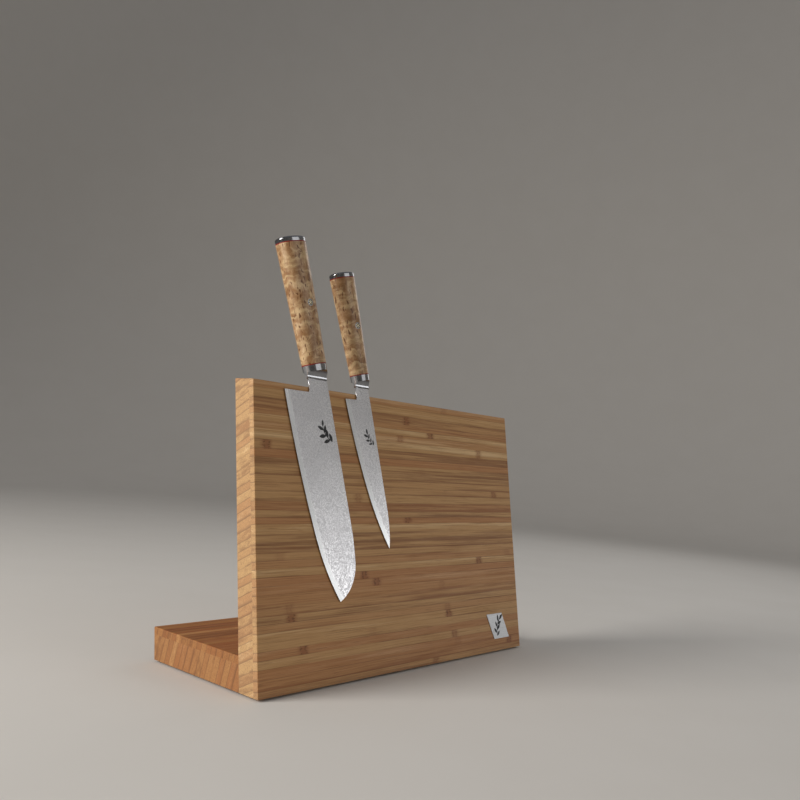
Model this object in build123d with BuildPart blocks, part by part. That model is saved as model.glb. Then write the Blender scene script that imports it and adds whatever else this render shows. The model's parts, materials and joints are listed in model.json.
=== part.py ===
from build123d import *
from dataclasses import dataclass
from math import cos, exp, pi, radians, sin, tan
import os

# A free-standing magnetic knife block with a santoku and a petty knife on it, in millimetres.
# +Z is up, the magnetic face looks towards -Y and leans back, and X runs along its width.
# The origin is the middle of the block's footprint, on the surface that it stands on.

# ---- The block ----
LEAN = 10.0  # degrees that the upright leans back
WIDTH = 350.0
HEIGHT = 234.0  # of the upright, measured plumb, without the feet
UPRIGHT_THICK = 21.4
FACING_THICK = 5.0  # the thin front layer that covers the magnets
BASE_DEPTH = 132.0  # from the face's bottom edge to the base's back edge
BASE_THICK = 26.0
BASE_COVER_THICK = 6.0  # the base's upper layer
EDGE_ROUND = 0.8

FOOT_RADIUS = 7.0
FOOT_PROUD = 1.5
FOOT_RECESS = 1.0
FOOT_CHAMFER = 0.4
FOOT_X = 150.0
FOOT_FRONT = 13.5  # of the front feet's centres, from the face's bottom edge
FOOT_BACK = 115.0  # of the back feet's centres, from the same edge

# ---- The magnets between facing and core ----
MAGNET_ROWS = {"upper": 204.0, "middle": 150.0, "lower": 96.0}  # heights up the face
GROOVE = (322.0, 22.0)
GROOVE_IN_FACING = 2.5
GROOVE_IN_CORE = 5.5
KEEPER = (320.0, 20.0, 1.5)
MAGNET = (28.0, 20.0, 6.4)
MAGNETS_IN_ROW = 10
MAGNET_PITCH = 32.0

# ---- The dowels that hold the base to the upright ----
DOWEL_RADIUS = 4.0
DOWEL_GLUE_LINE = 0.05
DOWEL_IN_CORE = 12.0
DOWEL_IN_BASE = 22.0
DOWEL_COUNT = 4
DOWEL_PITCH = 90.0
DOWEL_HEIGHT = 18.5  # up the face
DOWEL_CHAMFER = 0.8

# ---- The badge, a raked plate let into the face ----
BADGE_LOW = 11.4
BADGE_HIGH = 35.8
BADGE_LEFT = 129.0  # of the lower edge
BADGE_LENGTH = 26.0
BADGE_RAKE = 24.5
BADGE_THICK = 0.8
BADGE_RECESS = 0.3

# ---- What both knives share ----
BLADE_GAP = 0.15  # between the board and the blade's spine
SPINE_THICK = 2.0
EDGE_THICK = 0.6  # along the line from heel to tip, and less below it
BEVEL_DEPTH = 0.15  # taken off each side at the cutting edge
BEVEL_WIDTH = 3.2
CHOIL_RADIUS = 2.0
SPACER_THICK = 0.8
COLLAR_LENGTH = 5.2
SCOOP_RADIUS = 8.0
SCOOP_END_THICK = 2.1
CAP_ROUND = 1.8
CAP_LENGTH = 4.2
TANG_THICK = 1.2
TANG_CLEARANCE = 0.1
TANG_IN_CAP = 2.0
PIN_RADIUS = 2.9
PIN_BORE_RADIUS = 2.35
PIN_CENTRE_ROD_RADIUS = 0.75
PIN_RING_ROD_RADIUS = 0.48
PIN_RING_RADIUS = 1.56
PIN_RING_RODS = 6
SECTION_POINTS = 16
SECTION_FULLNESS = 2.35  # 2 is an ellipse, and more is squarer
RIDGE_HEIGHT = 0.07  # of the D's ridge, as a share of the half thickness
RIDGE_ANGLE = 100.0
RIDGE_SPREAD = 28.0

SLOPE = tan(radians(LEAN))
UPRIGHT_RUN = UPRIGHT_THICK / cos(radians(LEAN))  # its thickness measured level
OVERALL_DEPTH = BASE_DEPTH + BASE_THICK * SLOPE
FRONT_Y = -OVERALL_DEPTH / 2

# The face's own frame: x along the width, y up the face, z out of it.
FACE = Plane(
    origin=(0, FRONT_Y, FOOT_PROUD),
    x_dir=(1, 0, 0),
    z_dir=(0, -cos(radians(LEAN)), sin(radians(LEAN))),
)
GLUE_LINE = FACE.offset(-FACING_THICK)
UPRIGHT_BACK = FACE.offset(-UPRIGHT_THICK)
GROOVE_FLOOR = FACE.offset(-FACING_THICK - GROOVE_IN_CORE)


@dataclass
class Knife:
    """One knife in its own frame: heel at the origin, x to the tip, y to the spine, z out of the board."""

    name: str
    heel: tuple  # on the face, along its width and up it
    tilt: float  # degrees that the spine leans from straight up the face
    spine: float  # height of the spine over the heel
    neck: float  # height of the neck's lower side over the heel
    choil: float  # x where the heel line meets the neck
    bolster: float  # x where the bolster ends on the spine
    spine_bend: float  # x where the spine begins to drop
    spine_arcs: tuple  # ends of the arcs from there to the tip
    edge_arcs: tuple  # ends of the arcs from heel to tip
    edge_start: float  # degrees that the edge rises at the heel
    ring: tuple  # centre of the grip's front end
    droop: float  # degrees that the grip turns away from the spine's line
    grip_length: float  # between the two red spacers
    front_half: tuple  # half width and half thickness of the grip at its front end
    back_half: tuple  # and at its back end
    tang: tuple  # half width of the tang at the bolster and at its end

    @property
    def plane(self):
        lift = BLADE_GAP + SPINE_THICK / 2
        turn = Location((*self.heel, lift), (0, 0, self.tilt - 90))
        return Plane(FACE.location * turn)

    @property
    def grip_plane(self):
        """x runs along the grip to its end cap, y to the edge's side, z out of the board."""
        turn = Location((*self.ring, 0), (0, 0, 180 + self.droop))
        return Plane(self.plane.location * turn)

    def cross_plane(self, along):
        """Square to the grip, with x to the edge's side and y out of the board."""
        grip = self.grip_plane
        origin = grip.from_local_coords((along, 0, 0))
        return Plane(origin=origin, x_dir=grip.y_dir, z_dir=grip.x_dir)

    @property
    def bolster_end(self):
        """The raked plane where the bolster meets the blade; its x runs up the grip."""
        tip_side = Location((self.bolster, self.spine, 0), (0, 0, 180 - self.tilt))
        return Plane(self.plane.location * tip_side)

    @property
    def tip(self):
        return self.edge_arcs[-1]

    @property
    def edge_tangent(self):
        """The direction that the edge sets out in at the heel."""
        return (cos(radians(self.edge_start)), sin(radians(self.edge_start)))

    @property
    def pin_along(self):
        return self.grip_length / 2


SANTOKU = Knife(
    name="santoku",
    heel=(-143.8, 233.1),
    tilt=11.3,
    spine=48.1,
    neck=27.3,
    choil=5.4,
    bolster=-2.0,
    spine_bend=118.0,
    spine_arcs=((150.0, 45.8), (177.5, 21.4)),
    edge_arcs=((120.0, 6.6), (177.5, 21.4)),
    edge_start=0.0,
    ring=(-16.6, 37.1),
    droop=1.6,
    grip_length=102.2,
    front_half=(11.0, 8.3),
    back_half=(13.6, 10.4),
    tang=(6.0, 3.5),
)
PETTY = Knife(
    name="petty",
    heel=(-74.0, 232.4),
    tilt=10.6,
    spine=29.7,
    neck=14.3,
    choil=2.4,
    bolster=-5.6,
    spine_bend=100.0,
    spine_arcs=((135.0, 24.7),),
    edge_arcs=((80.0, 8.9), (135.0, 24.7)),
    edge_start=2.6,
    ring=(-18.6, 22.1),
    droop=1.1,
    grip_length=86.0,
    front_half=(8.5, 7.2),
    back_half=(11.3, 9.5),
    tang=(5.0, 3.0),
)


# ---- Boards ----
def board(profile):
    """A board whose side view is the profile, in Y and Z, as wide as the block."""
    with BuildPart() as blank:
        with BuildSketch(Plane.YZ):
            with BuildLine():
                Polyline(*profile, close=True)
            make_face()
        extrude(amount=WIDTH / 2, both=True)
    return blank.part


def upright_blank():
    low, high = FOOT_PROUD, FOOT_PROUD + HEIGHT
    top_y = FRONT_Y + HEIGHT * SLOPE
    profile = [
        (FRONT_Y, low),
        (top_y, high),
        (top_y + UPRIGHT_RUN, high),
        (FRONT_Y + UPRIGHT_RUN, low),
    ]
    with BuildPart() as blank:
        add(board(profile))
        top = blank.faces().sort_by(Axis.Z)[-1].edges()
        outward = Axis(FACE.origin, FACE.z_dir)
        front = blank.faces().filter_by(FACE).sort_by(outward)[-1]
        ends = front.edges().filter_by(Axis(FACE.origin, FACE.y_dir))
        fillet(top + ends, radius=EDGE_ROUND)
    return blank.part


def base_blank():
    low, high = FOOT_PROUD, FOOT_PROUD + BASE_THICK
    rise = BASE_THICK * SLOPE
    profile = [
        (FRONT_Y + UPRIGHT_RUN, low),
        (FRONT_Y + UPRIGHT_RUN + rise, high),
        (FRONT_Y + BASE_DEPTH + rise, high),
        (FRONT_Y + BASE_DEPTH, low),
    ]
    with BuildPart() as blank:
        add(board(profile))
        top = blank.faces().sort_by(Axis.Z)[-1].edges().sort_by(Axis.Y)[1:]
        outward = Axis(FACE.origin, FACE.z_dir)
        back = blank.faces().filter_by(FACE).sort_by(outward)[0]
        ends = back.edges().filter_by(Axis(FACE.origin, FACE.y_dir))
        fillet(top + ends, radius=EDGE_ROUND)
    return blank.part


def foot_spots(back):
    """Centres of the two front feet or the two back feet, on the underside."""
    y = FRONT_Y + (FOOT_BACK if back else FOOT_FRONT)
    return [(-FOOT_X, y), (FOOT_X, y)]


def groove_spots():
    return [(0, height) for height in MAGNET_ROWS.values()]


def dowel_spots():
    return GridLocations(DOWEL_PITCH, 1, DOWEL_COUNT, 1)


def badge_outline():
    lean = (BADGE_HIGH - BADGE_LOW) * tan(radians(BADGE_RAKE))
    return [
        (BADGE_LEFT, BADGE_LOW),
        (BADGE_LEFT + BADGE_LENGTH, BADGE_LOW),
        (BADGE_LEFT + BADGE_LENGTH - lean, BADGE_HIGH),
        (BADGE_LEFT - lean, BADGE_HIGH),
    ]


def upright_facing(blank):
    with BuildPart() as facing:
        add(blank)
        split(bisect_by=GLUE_LINE, keep=Keep.TOP)
        with BuildSketch(GLUE_LINE):
            with Locations(*groove_spots()):
                Rectangle(*GROOVE)
        extrude(amount=GROOVE_IN_FACING, mode=Mode.SUBTRACT)
        with BuildSketch(FACE):
            with BuildLine():
                Polyline(*badge_outline(), close=True)
            make_face()
        extrude(amount=-BADGE_RECESS, mode=Mode.SUBTRACT)
    return facing.part


def upright_core(blank):
    with BuildPart() as core:
        add(blank)
        split(bisect_by=GLUE_LINE, keep=Keep.BOTTOM)
        with BuildSketch(GLUE_LINE):
            with Locations(*groove_spots()):
                Rectangle(*GROOVE)
        extrude(amount=-GROOVE_IN_CORE, mode=Mode.SUBTRACT)
        with BuildSketch(UPRIGHT_BACK):
            with Locations((0, DOWEL_HEIGHT)):
                with dowel_spots():
                    Circle(DOWEL_RADIUS + DOWEL_GLUE_LINE)
        extrude(amount=DOWEL_IN_CORE, mode=Mode.SUBTRACT)
        with BuildSketch(Plane.XY.offset(FOOT_PROUD)):
            with Locations(*foot_spots(back=False)):
                Circle(FOOT_RADIUS)
        extrude(amount=FOOT_RECESS, mode=Mode.SUBTRACT)
    return core.part


def base_core(blank):
    with BuildPart() as core:
        add(blank)
        cover_line = FOOT_PROUD + BASE_THICK - BASE_COVER_THICK
        split(bisect_by=Plane.XY.offset(cover_line), keep=Keep.BOTTOM)
        with BuildSketch(UPRIGHT_BACK):
            with Locations((0, DOWEL_HEIGHT)):
                with dowel_spots():
                    Circle(DOWEL_RADIUS + DOWEL_GLUE_LINE)
        extrude(amount=-DOWEL_IN_BASE, mode=Mode.SUBTRACT)
        with BuildSketch(Plane.XY.offset(FOOT_PROUD)):
            with Locations(*foot_spots(back=True)):
                Circle(FOOT_RADIUS)
        extrude(amount=FOOT_RECESS, mode=Mode.SUBTRACT)
    return core.part


def base_cover(blank):
    with BuildPart() as cover:
        add(blank)
        cover_line = FOOT_PROUD + BASE_THICK - BASE_COVER_THICK
        split(bisect_by=Plane.XY.offset(cover_line), keep=Keep.TOP)
    return cover.part


# ---- What the boards hold ----
def keeper_strip(height):
    """The mild steel strip on the groove's floor, behind one row of magnets."""
    with BuildPart() as strip:
        with BuildSketch(GROOVE_FLOOR):
            with Locations((0, height)):
                Rectangle(KEEPER[0], KEEPER[1])
        extrude(amount=KEEPER[2])
    return strip.part


def magnet_row(height):
    with BuildPart() as row:
        with BuildSketch(GROOVE_FLOOR.offset(KEEPER[2])):
            with Locations((0, height)):
                with GridLocations(MAGNET_PITCH, 1, MAGNETS_IN_ROW, 1):
                    Rectangle(MAGNET[0], MAGNET[1])
        extrude(amount=MAGNET[2])
    return row.part


def joint_dowels():
    with BuildPart() as dowels:
        with BuildSketch(UPRIGHT_BACK.offset(DOWEL_IN_CORE)):
            with Locations((0, DOWEL_HEIGHT)):
                with dowel_spots():
                    Circle(DOWEL_RADIUS)
        extrude(amount=-(DOWEL_IN_CORE + DOWEL_IN_BASE))
        chamfer(dowels.edges().filter_by(GeomType.CIRCLE), length=DOWEL_CHAMFER)
    return dowels.part


def rubber_foot(spot):
    with BuildPart() as foot:
        with BuildSketch(Plane.XY):
            with Locations(spot):
                Circle(FOOT_RADIUS)
        extrude(amount=FOOT_PROUD + FOOT_RECESS)
        lower_rim = foot.edges().group_by(Axis.Z)[0]
        chamfer(lower_rim, length=FOOT_CHAMFER)
    return foot.part


def badge_plate():
    with BuildPart() as badge:
        with BuildSketch(FACE.offset(-BADGE_RECESS)):
            with BuildLine():
                Polyline(*badge_outline(), close=True)
            make_face()
        extrude(amount=BADGE_THICK)
    return badge.part


# ---- Knives ----
def grip_section(half_width, half_thickness):
    """Points round a D-shaped grip: a full oval drawn up to a soft ridge on its outer side."""
    points = []
    for step in range(SECTION_POINTS):
        angle = 360 * step / SECTION_POINTS
        c, s = cos(radians(angle)), sin(radians(angle))
        reach = (abs(c) ** SECTION_FULLNESS + abs(s) ** SECTION_FULLNESS) ** (-1 / SECTION_FULLNESS)
        ridge = 1 + RIDGE_HEIGHT * exp(-(((angle - RIDGE_ANGLE) / RIDGE_SPREAD) ** 2))
        points.append((half_width * reach * c, half_thickness * reach * ridge * s))
    return points


def grip_envelope(knife):
    """The outer shape that bolster, spacers, grip and cap are all cut from, so that they meet flush."""
    below = -(knife.front_half[0] + SCOOP_RADIUS + COLLAR_LENGTH)
    above = knife.grip_length + SPACER_THICK + CAP_LENGTH
    with BuildPart() as envelope:
        for along in (below, above):
            share = along / knife.grip_length
            halves = [
                front + (back - front) * share
                for front, back in zip(knife.front_half, knife.back_half)
            ]
            with BuildSketch(knife.cross_plane(along)):
                with BuildLine():
                    Spline(*grip_section(*halves), periodic=True)
                make_face()
        loft()
    return envelope.part


def wedge_side(knife, side):
    """The flat of one side of the blade: it meets heel, tip and bolster at their thicknesses."""
    place = knife.plane.from_local_coords
    heel = place((0, 0, side * EDGE_THICK / 2))
    tip = place((*knife.tip, side * EDGE_THICK / 2))
    spine = place((knife.bolster, knife.spine, side * SPINE_THICK / 2))
    return Plane(origin=heel, x_dir=tip - heel, z_dir=(tip - heel).cross(spine - heel))


def pin_bar(knife, spots, radius):
    """Round bars square through the grip, longer than it is thick."""
    with BuildPart() as bars:
        with BuildSketch(knife.grip_plane):
            with Locations(*spots):
                Circle(radius)
        extrude(amount=knife.back_half[0] * 2, both=True)
    return bars.part


def tang_bar(knife, clearance):
    """The tang's stock, or with some clearance the slot that it sits in."""
    start = -(abs(knife.bolster) + knife.front_half[0] + COLLAR_LENGTH)
    end = knife.grip_length + SPACER_THICK + TANG_IN_CAP + clearance
    wide, narrow = (half + clearance for half in knife.tang)
    with BuildPart() as bar:
        with BuildSketch(knife.grip_plane):
            with BuildLine():
                Polyline((start, -wide), (end, -narrow), (end, narrow), (start, wide), close=True)
            make_face()
        extrude(amount=TANG_THICK / 2 + clearance, both=True)
    return bar.part


def lies_on_edge(knife, curve):
    """Whether a curve of the blade's outline belongs to the cutting edge."""
    middle = knife.plane.to_local_coords(curve @ 0.5)
    return curve.geom_type != GeomType.LINE and middle.Y < knife.spine / 2


def blade(knife, tang, pin_hole):
    rake = tan(radians(knife.tilt))
    neck_end = (knife.bolster - (knife.spine - knife.neck) * rake, knife.neck)
    choil_spot = knife.plane.from_local_coords((knife.choil, knife.neck, 0))
    with BuildPart() as steel:
        with BuildSketch(knife.plane):
            with BuildLine():
                start, tangent = (0, 0), knife.edge_tangent
                for end in knife.edge_arcs:
                    tangent = TangentArc(start, end, tangent=tangent) % 1
                    start = end
                start, tangent = (knife.spine_bend, knife.spine), (1, 0)
                for end in knife.spine_arcs:
                    tangent = TangentArc(start, end, tangent=tangent) % 1
                    start = end
                Polyline(
                    (knife.spine_bend, knife.spine),
                    (knife.bolster, knife.spine),
                    neck_end,
                    (knife.choil, knife.neck),
                    (0, 0),
                )
            make_face()
        extrude(amount=SPINE_THICK / 2, both=True)
        corners = steel.edges().filter_by(Axis(knife.plane.origin, knife.plane.z_dir))
        fillet(corners.sort_by_distance(choil_spot)[0], radius=CHOIL_RADIUS)
        split(bisect_by=wedge_side(knife, 1), keep=Keep.BOTTOM)
        split(bisect_by=wedge_side(knife, -1), keep=Keep.TOP)
        for flat in steel.faces().sort_by(SortBy.AREA)[-2:]:
            rim = [e for e in flat.edges() if lies_on_edge(knife, e)]
            chamfer(rim, length=BEVEL_WIDTH, length2=BEVEL_DEPTH, reference=flat)
        add(tang)
        add(pin_hole, mode=Mode.SUBTRACT)
    return steel.part


def grip_stretch(knife, envelope, start, end):
    """The stretch of the grip's envelope between two distances from its front end."""
    with BuildPart() as stretch:
        add(envelope)
        split(bisect_by=knife.cross_plane(start), keep=Keep.TOP)
        split(bisect_by=knife.cross_plane(end), keep=Keep.BOTTOM)
    return stretch.part


def bolster_neck(knife, envelope):
    """The scooped stretch that runs from the collar's rim down to the blade's thickness."""
    end = knife.bolster_end
    root = SCOOP_END_THICK / 2
    reach = knife.front_half[0] * 2 + SCOOP_RADIUS
    side_view = Plane(origin=end.origin, x_dir=end.x_dir, z_dir=end.y_dir)
    with BuildPart() as neck:
        with BuildSketch(side_view):
            with BuildLine():
                scoop = TangentArc((0, root), (SCOOP_RADIUS, root + SCOOP_RADIUS), tangent=(1, 0))
                Polyline(scoop @ 1, (reach, root + SCOOP_RADIUS), (reach, 0), (0, 0), (0, root))
            make_face()
            mirror(about=Plane.XZ)
        extrude(amount=reach * 2, both=True)
        add(envelope, mode=Mode.INTERSECT)
        split(bisect_by=knife.cross_plane(-COLLAR_LENGTH), keep=Keep.BOTTOM)
    return neck.part


def bolster(knife, envelope, tang_slot):
    collar = grip_stretch(knife, envelope, -COLLAR_LENGTH, 0)
    neck = bolster_neck(knife, envelope)
    with BuildPart() as steel:
        add(collar)
        add(neck)
        add(tang_slot, mode=Mode.SUBTRACT)
    return steel.part


def spacer(knife, envelope, tang_slot, start):
    stretch = grip_stretch(knife, envelope, start, start + SPACER_THICK)
    with BuildPart() as ring:
        add(stretch)
        add(tang_slot, mode=Mode.SUBTRACT)
    return ring.part


def grip(knife, envelope, tang_slot, pin_hole):
    stretch = grip_stretch(knife, envelope, SPACER_THICK, knife.grip_length)
    with BuildPart() as wood:
        add(stretch)
        add(tang_slot, mode=Mode.SUBTRACT)
        add(pin_hole, mode=Mode.SUBTRACT)
    return wood.part


def end_cap(knife, envelope, tang_slot):
    start = knife.grip_length + SPACER_THICK
    stretch = grip_stretch(knife, envelope, start, start + CAP_LENGTH)
    outward = Axis(knife.grip_plane.origin, knife.grip_plane.x_dir)
    with BuildPart() as cap:
        add(stretch)
        fillet(cap.faces().sort_by(outward)[-1].edges(), radius=CAP_ROUND)
        add(tang_slot, mode=Mode.SUBTRACT)
    return cap.part


def pin_pieces(knife, envelope, pin_hole):
    """The mosaic pin: a tube, a rod on its axis in a ring of thin rods, and the resin round them."""
    turns = [2 * pi * k / PIN_RING_RODS for k in range(PIN_RING_RODS)]
    ring = [
        (knife.pin_along + PIN_RING_RADIUS * cos(turn), PIN_RING_RADIUS * sin(turn))
        for turn in turns
    ]
    bore = pin_bar(knife, [(knife.pin_along, 0)], PIN_BORE_RADIUS)
    centre_rod = pin_bar(knife, [(knife.pin_along, 0)], PIN_CENTRE_ROD_RADIUS)
    ring_rods = pin_bar(knife, ring, PIN_RING_ROD_RADIUS)
    with BuildPart() as tube:
        add(pin_hole)
        add(bore, mode=Mode.SUBTRACT)
        add(envelope, mode=Mode.INTERSECT)
    with BuildPart() as rods:
        add(centre_rod)
        add(ring_rods)
        add(envelope, mode=Mode.INTERSECT)
    with BuildPart() as resin:
        add(bore)
        add(centre_rod, mode=Mode.SUBTRACT)
        add(ring_rods, mode=Mode.SUBTRACT)
        add(envelope, mode=Mode.INTERSECT)
    return {"pin_tube": tube.part, "pin_rods": rods.part, "pin_resin": resin.part}


def knife_pieces(knife):
    envelope = grip_envelope(knife)
    tang = tang_bar(knife, 0)
    slot = tang_bar(knife, TANG_CLEARANCE)
    pin_hole = pin_bar(knife, [(knife.pin_along, 0)], PIN_RADIUS)
    pieces = {
        "blade": blade(knife, tang, pin_hole),
        "bolster": bolster(knife, envelope, slot),
        "front_spacer": spacer(knife, envelope, slot, 0),
        "grip": grip(knife, envelope, slot, pin_hole),
        "back_spacer": spacer(knife, envelope, slot, knife.grip_length),
        "end_cap": end_cap(knife, envelope, slot),
    }
    pieces.update(pin_pieces(knife, envelope, pin_hole))
    return {f"{knife.name}_{piece}": part for piece, part in pieces.items()}


def block_pieces():
    upright, base = upright_blank(), base_blank()
    pieces = {
        "upright_facing": upright_facing(upright),
        "upright_core": upright_core(upright),
        "base_cover": base_cover(base),
        "base_core": base_core(base),
        "joint_dowels": joint_dowels(),
        "badge_plate": badge_plate(),
    }
    for row, height in MAGNET_ROWS.items():
        pieces[f"keeper_strip_{row}"] = keeper_strip(height)
        pieces[f"magnet_row_{row}"] = magnet_row(height)
    for end in ("front", "back"):
        for side, spot in zip(("left", "right"), foot_spots(back=end == "back")):
            pieces[f"rubber_foot_{end}_{side}"] = rubber_foot(spot)
    return pieces


def main():
    os.makedirs("parts", exist_ok=True)
    pieces = block_pieces()
    for knife in (SANTOKU, PETTY):
        pieces.update(knife_pieces(knife))
    for name, part in pieces.items():
        part.label = name
        export_step(part, f"parts/{name}.step")


main()
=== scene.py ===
"""The looks of a magnetic knife block with two knives, built around its CAD frame."""

import json
import math

import bmesh
import bpy
import numpy as np
from mathutils import Matrix, Vector


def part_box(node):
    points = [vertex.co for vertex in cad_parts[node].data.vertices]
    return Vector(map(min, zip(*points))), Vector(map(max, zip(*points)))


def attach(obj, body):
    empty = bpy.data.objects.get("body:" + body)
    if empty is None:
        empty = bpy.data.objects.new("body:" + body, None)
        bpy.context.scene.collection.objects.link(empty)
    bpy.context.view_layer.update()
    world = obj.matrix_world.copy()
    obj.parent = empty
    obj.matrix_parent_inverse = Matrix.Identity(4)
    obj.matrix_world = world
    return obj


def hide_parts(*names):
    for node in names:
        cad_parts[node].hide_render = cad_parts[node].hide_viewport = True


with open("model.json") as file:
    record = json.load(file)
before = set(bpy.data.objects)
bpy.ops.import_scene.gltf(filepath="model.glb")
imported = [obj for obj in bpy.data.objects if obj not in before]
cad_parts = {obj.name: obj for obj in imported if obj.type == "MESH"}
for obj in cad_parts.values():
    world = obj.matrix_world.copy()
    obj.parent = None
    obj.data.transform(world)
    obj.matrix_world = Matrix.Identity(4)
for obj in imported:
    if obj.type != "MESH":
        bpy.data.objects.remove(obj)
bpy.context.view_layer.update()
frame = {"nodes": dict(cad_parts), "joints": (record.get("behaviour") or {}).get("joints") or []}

bl_info = {
    "name": "Magnetic Knife Block",
    "version": (1, 0, 0),
    "blender": (4, 5, 0),
    "location": "3D View > Sidebar > Knife Block",
    "description": "Finishes and fine pieces for a laminated bamboo knife block with two knives",
    "category": "Object",
}

MM = 0.001
NODES = frame["nodes"]
KNIVES = ("santoku", "petty")
# How far each blade's spine leans from straight up.
KNIFE_TILT = {"santoku": math.radians(11.3), "petty": math.radians(10.6)}

# How each board's strips are turned about its width, the seed of their pattern, and how toasted
# they are.
BOARDS = {
    "upright_core": (math.radians(28), 1, 0.0),
    "upright_facing": (math.radians(12), 2, 0.0),
    "base_core": (math.radians(78), 3, 0.6),
    "base_cover": (math.radians(84), 4, 0.7),
}
# How often the grips' brown flecks come, outward, to the spine and along the grip, per millimetre.
FLECKS = {"santoku": (0.68, 0.68, 0.21), "petty": (0.6, 0.6, 0.13)}

# The bamboo's pattern, in mm: where the strips' level starts, how far apart the levels of two seeds
# lie, how far knuckles are shifted (at most, in gaps), how far one wanders, and how far each of its
# two rows of ticks lies from its middle.
LEVEL_START = 1000
LEVEL_STEP = 37.0
KNUCKLE_SHIFT = 9.7
KNUCKLE_WANDER = 7.0
KNUCKLE_ROW = 2.4
FIGURE_WARP = (7.0, 7.0, 10.0)  # how far the birch's figure is bent out of line, in mm

# The blades' pattern, in mm: the way over which its noise rises from 0 to 1, and how far the edge
# band's border wanders.
SWIRL_RISE = 18.0
EDGE_WANDER = 5.0

WELD = 0.002 * MM  # points nearer than this are one
FLAT_ANGLE = math.radians(0.3)  # faces whose directions differ less are one
GRID_NUDGE = 0.05 * MM  # the blade grid's first line, just inside the heel
SIDE_NORMAL = 0.9  # a blade's face with more of its normal sideways belongs to a flat side
RAY_START = 20 * MM  # how far off a blade the ray that finds its surface starts

# The leaf sprig: its stem's course and radius, as shares of its length; a leaf's width, as a share
# of the leaf's length; the angle and sway of the leaves, in radians; their least and greatest size;
# and how finely stem and leaves are divided.
STEM = {"Start": (-0.55, -0.16), "Middle": (0.0, 0.2), "End": (0.38, 0.02)}
STEM_RADIUS = 0.022
LEAF_WIDTH = 0.4
LEAF_ANGLE = 0.75
LEAF_SWAY = 0.16
LEAF_SIZES = (0.72, 1.05)
STEM_POINTS, STEM_SIDES = 24, 8
LEAF_SIDES, LEAF_RINGS = 24, 10

# Where a blade's leaf mark lies: along and across from the heel, how it is turned, and its scale.
MARKS = {
    "santoku": (41 * MM, 37 * MM, math.radians(200), 1.2),
    "petty": (38 * MM, 21.5 * MM, math.radians(200), 0.85),
}
BADGE_MARK_TURN = math.radians(62)
BADGE_MARK_SCALE = 1.2

# How far a foot's outer ring stands out past its plug, in radii of that ring's section, and how
# many sides the foot and the section have.
BEAD_OVERHANG = 0.4
FOOT_SIDES, BEAD_SIDES = 64, 10

# The seamless floor, just under the feet: flat to FLAT_RADIUS, then curved up to a wall of
# WALL_HEIGHT, and how finely it is divided.
FLOOR_LEVEL = -0.0002
FLAT_RADIUS = 1.9
SWEEP_RADIUS = 1.2
WALL_HEIGHT = 3.0
FLAT_RINGS = 6
SWEEP_RINGS = 16
FLOOR_SIDES = 96

LIGHT_AIM = (0.0, 0.0, 0.15)
# Each lamp's place, size, power in watts, colour and the angle that its light spreads over.
LIGHTS = {
    "key": ((-1.9, 0.62, 0.95), (0.9, 1.1), 19.0, "#FFFBF6", math.radians(120)),
    "low_front": ((1.15, -1.05, 0.17), (0.9, 0.3), 0.5, "#FFFFFF", math.radians(90)),
    "rim": ((1.5, 0.2, 0.95), (0.8, 1.0), 1.7, "#FFFFFF", math.radians(130)),
    "fill": ((0.55, -2.1, 1.2), (1.3, 1.3), 2.9, "#FFFFFF", math.radians(130)),
}
ROOM_COLOUR = "#C9C9CC"
ROOM_STRENGTH = 0.38

# Short names for the kinds of node that are used most, with their settings.
KINDS = {
    "Noise": ("ShaderNodeTexNoise", {}),
    "Stretch": ("ShaderNodeVectorMath", {"operation": "MULTIPLY"}),
    "Step": ("ShaderNodeMapRange", {"interpolation_type": "SMOOTHSTEP"}),
    "Mix": ("ShaderNodeMix", {"data_type": "RGBA"}),
    "Ramp": ("ShaderNodeValToRGB", {}),
    "Cells": ("ShaderNodeTexVoronoi", {}),
    "Split": ("ShaderNodeSeparateXYZ", {}),
    "Vector": ("ShaderNodeCombineXYZ", {}),
    "Transform": ("GeometryNodeTransform", {}),
    "Real": ("GeometryNodeRealizeInstances", {}),
    "Circle": ("GeometryNodeCurvePrimitiveCircle", {}),
    "Sweep": ("GeometryNodeCurveToMesh", {}),
    "Copies": ("GeometryNodeInstanceOnPoints", {}),
    "Chance": ("FunctionNodeRandomValue", {"data_type": "FLOAT"}),
}


# ---- Sizes and colours that a user would change ----
class BambooSettings(bpy.types.PropertyGroup):
    """Boards glued up from bamboo strips on edge."""

    light: bpy.props.StringProperty(
        name="Light strips", description="Colour of the palest strips", default="#DDB988"
    )
    middle: bpy.props.StringProperty(
        name="Middle strips", description="Colour of most strips", default="#C29763"
    )
    dark: bpy.props.StringProperty(
        name="Dark strips", description="Colour of the darkest strips", default="#976B42"
    )
    strip: bpy.props.FloatProperty(
        name="Strip", description="Mean thickness of a strip", default=6.6 * MM, unit="LENGTH"
    )
    knuckle_gap: bpy.props.FloatProperty(
        name="Knuckle gap",
        description="Distance between two knuckles along one strip",
        default=340 * MM,
        unit="LENGTH",
    )


class BladeSettings(bpy.types.PropertyGroup):
    """Blades of patterned steel with a plain cutting edge."""

    stations: bpy.props.IntProperty(
        name="Stations", description="Cross-sections along a blade", default=150, min=20
    )
    rows: bpy.props.IntProperty(
        name="Rows", description="Faces across one side of a blade", default=18, min=6
    )
    edge_band: bpy.props.FloatProperty(
        name="Edge band",
        description="Mean width of the plain steel along the cutting edge",
        default=4.4 * MM,
        unit="LENGTH",
    )
    layer_gap: bpy.props.FloatProperty(
        name="Layer gap",
        description="Distance between two lines of the etched pattern",
        default=1.9 * MM,
        unit="LENGTH",
    )


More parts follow.
